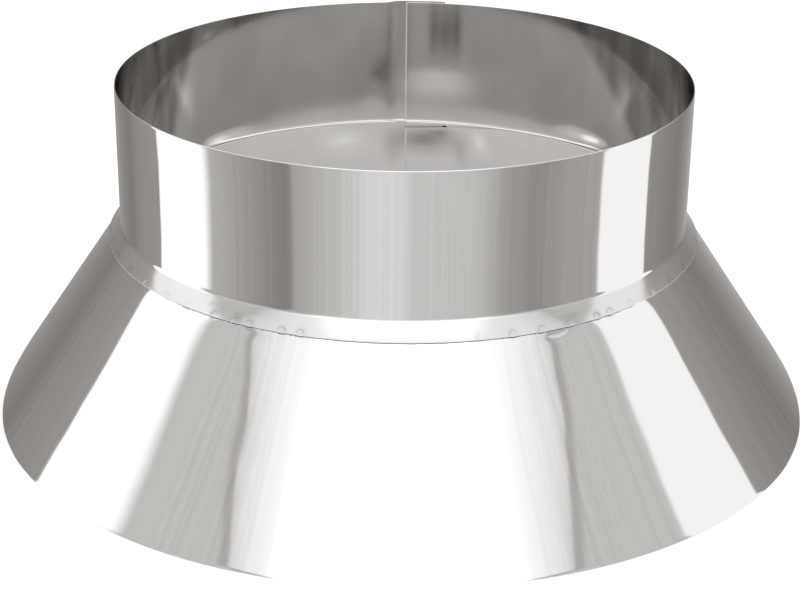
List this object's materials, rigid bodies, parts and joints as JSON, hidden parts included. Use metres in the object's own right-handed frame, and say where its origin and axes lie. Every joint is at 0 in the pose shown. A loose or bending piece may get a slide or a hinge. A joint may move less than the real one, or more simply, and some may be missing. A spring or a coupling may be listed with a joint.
{
  "type": "storm collar",
  "caption": "Round sheet-metal collar with a straight neck that slips over a flue and a wide conical skirt that sheds rain; lap seams at the back, flange spot-welded to the skirt.",
  "frame": {"origin": "on the collar's axis, in the plane of the skirt's lower edge", "axes": "+Z along the axis, from the skirt up to the neck's rim; -Y is the front and the lap seams are at the back, near +Y"},
  "size_m": [0.368, 0.368, 0.1487],
  "materials": {
    "neck_sheet": "bright polished stainless sheet, 0.5 mm",
    "skirt_sheet": "bright polished stainless sheet, 0.5 mm"
  },
  "bodies": {
    "root": {"neck": "neck_sheet", "skirt": "skirt_sheet"}
  },
  "joints": []
}
